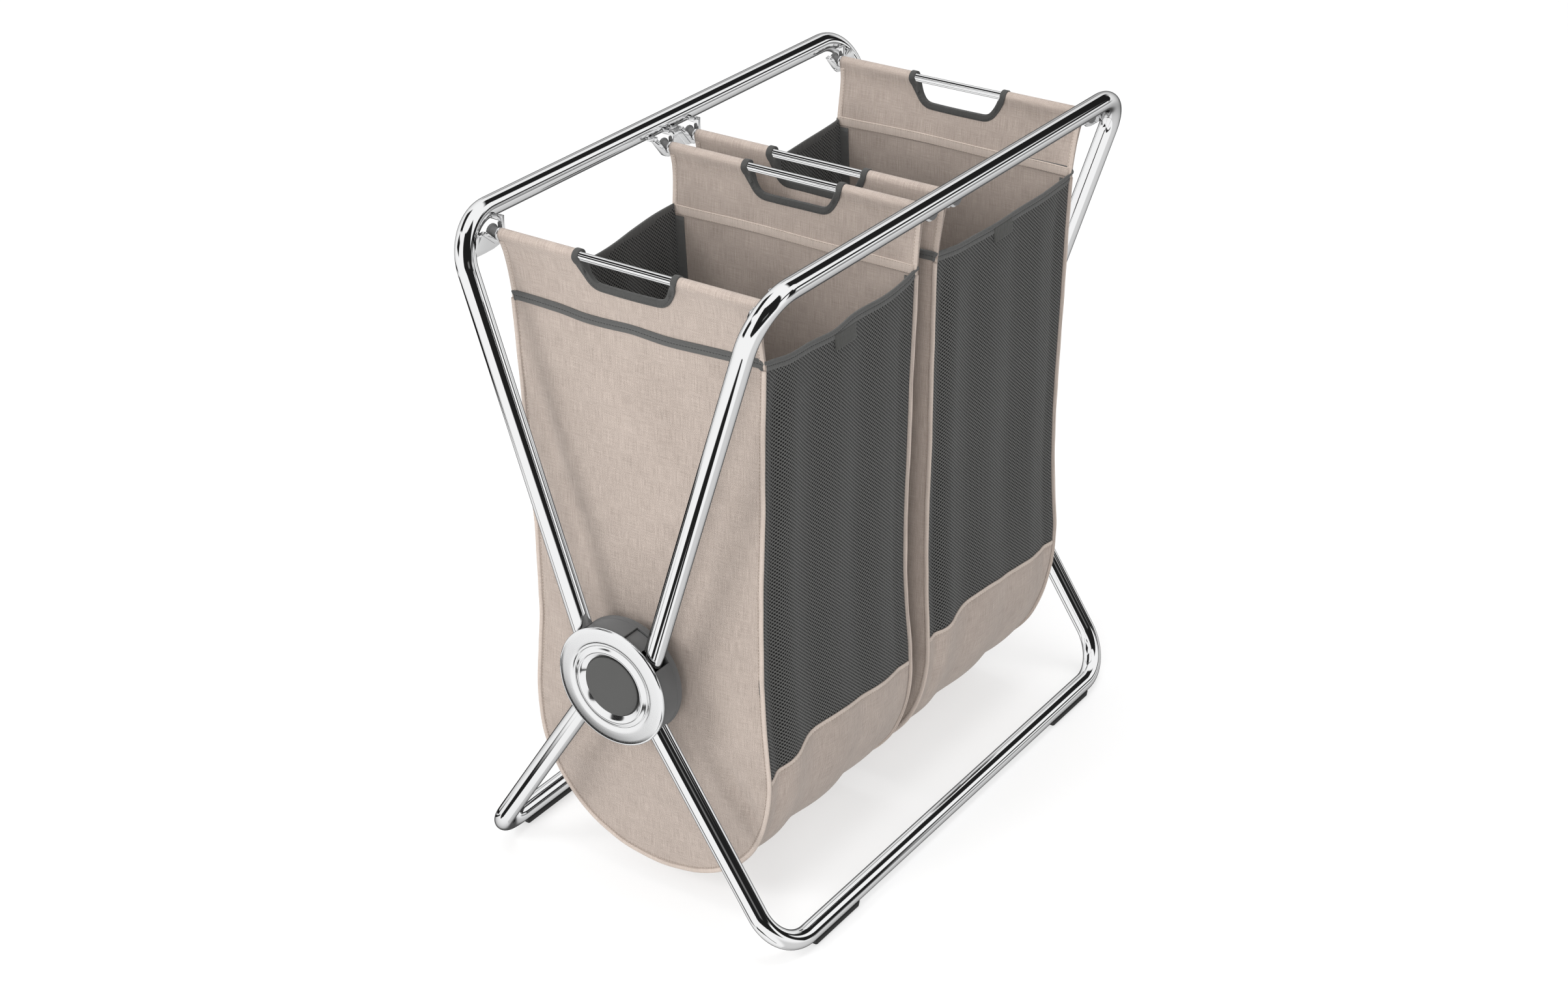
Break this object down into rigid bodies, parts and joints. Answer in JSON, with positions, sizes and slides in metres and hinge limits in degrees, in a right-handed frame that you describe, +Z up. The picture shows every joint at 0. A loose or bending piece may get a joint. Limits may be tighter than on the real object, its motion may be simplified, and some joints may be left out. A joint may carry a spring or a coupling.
{
  "type": "laundry hamper",
  "caption": "Laundry hamper with hanging cloth-and-mesh bins on rods, held by hooks on a folding X-frame of bent round tube with round hubs and rubber feet.",
  "frame": {"origin": "on the floor, under the middle of the hamper", "axes": "+Z up, +X along the rails from the near hub to the far hub, +Y across the rails to the left"},
  "size_m": [0.7338, 0.4184, 0.7695],
  "materials": {
    "chrome": "polished chrome plate",
    "satin_chrome": "chrome-plated moulding, softly polished",
    "steel": "zinc-plated, hidden in the hub",
    "hub_plastic": "dark grey moulded plastic, fine matt",
    "nylon": "natural nylon",
    "grey_rubber": "mid grey, matt",
    "foot_rubber": "black, matt",
    "bag_cloth": "beige twill weave",
    "bag_mesh": "dark grey open polyester mesh"
  },
  "bodies": {
    "frame": {"upper_loop_left": "chrome", "lower_loop_right": "chrome", "hub_near_housing": "hub_plastic", "hub_near_back_plate": "hub_plastic", "hub_near_fixed_yoke": "steel", "hub_near_trim_disc": "satin_chrome", "hub_near_centre_cap": "hub_plastic", "hub_near_pivot_bolt": "steel", "hub_near_lock_nut": "steel", "hub_near_friction_washer": "nylon", "hub_near_screw_upper": "steel", "hub_near_screw_lower": "steel", "hub_far_housing": "hub_plastic", "hub_far_back_plate": "hub_plastic", "hub_far_fixed_yoke": "steel", "hub_far_trim_disc": "satin_chrome", "hub_far_centre_cap": "hub_plastic", "hub_far_pivot_bolt": "steel", "hub_far_lock_nut": "steel", "hub_far_friction_washer": "nylon", "hub_far_screw_upper": "steel", "hub_far_screw_lower": "steel", "hook_near_left": "chrome", "hook_far_left": "chrome", "hook_middle_left": "chrome", "foot_near_right": "foot_rubber", "foot_far_right": "foot_rubber"},
    "swing_frame": {"upper_loop_right": "chrome", "lower_loop_left": "chrome", "hub_near_swing_yoke": "steel", "hub_far_swing_yoke": "steel", "hook_near_right": "chrome", "hook_far_right": "chrome", "hook_middle_right": "chrome", "foot_near_left": "foot_rubber", "foot_far_left": "foot_rubber"},
    "bag_near": {"rod_near_outer": "chrome", "rod_end_near_outer_left": "grey_rubber", "rod_end_near_outer_right": "grey_rubber", "bag_near_panel_outer": "bag_cloth", "rod_near_inner": "chrome", "rod_end_near_inner_left": "grey_rubber", "rod_end_near_inner_right": "grey_rubber", "bag_near_panel_inner": "bag_cloth", "bag_near_mesh_left": "bag_mesh", "bag_near_mesh_right": "bag_mesh", "bag_near_bottom": "bag_cloth"},
    "bag_far": {"rod_far_outer": "chrome", "rod_end_far_outer_left": "grey_rubber", "rod_end_far_outer_right": "grey_rubber", "bag_far_panel_outer": "bag_cloth", "rod_far_inner": "chrome", "rod_end_far_inner_left": "grey_rubber", "rod_end_far_inner_right": "grey_rubber", "bag_far_panel_inner": "bag_cloth", "bag_far_mesh_left": "bag_mesh", "bag_far_mesh_right": "bag_mesh", "bag_far_bottom": "bag_cloth"}
  },
  "joints": [
    {"name": "fold", "type": "hinge", "parent": "frame", "child": "swing_frame", "pos_m": [0, 0, 0.29], "axis": [-1, 0, 0], "range_deg": [0, 18], "deforming": ["rod_near_outer", "rod_end_near_outer_left", "rod_end_near_outer_right", "bag_near_panel_outer", "rod_near_inner", "rod_end_near_inner_left", "rod_end_near_inner_right", "bag_near_panel_inner", "bag_near_mesh_left", "bag_near_mesh_right", "bag_near_bottom", "rod_far_outer", "rod_end_far_outer_left", "rod_end_far_outer_right", "bag_far_panel_outer", "rod_far_inner", "rod_end_far_inner_left", "rod_end_far_inner_right", "bag_far_panel_inner", "bag_far_mesh_left", "bag_far_mesh_right", "bag_far_bottom"]},
    {"name": "lift_bag_near", "type": "slide", "parent": "frame", "child": "bag_near", "axis": [0, 0, 1], "range_m": [0, 0.76]},
    {"name": "lift_bag_far", "type": "slide", "parent": "frame", "child": "bag_far", "axis": [0, 0, 1], "range_m": [0, 0.76]}
  ]
}
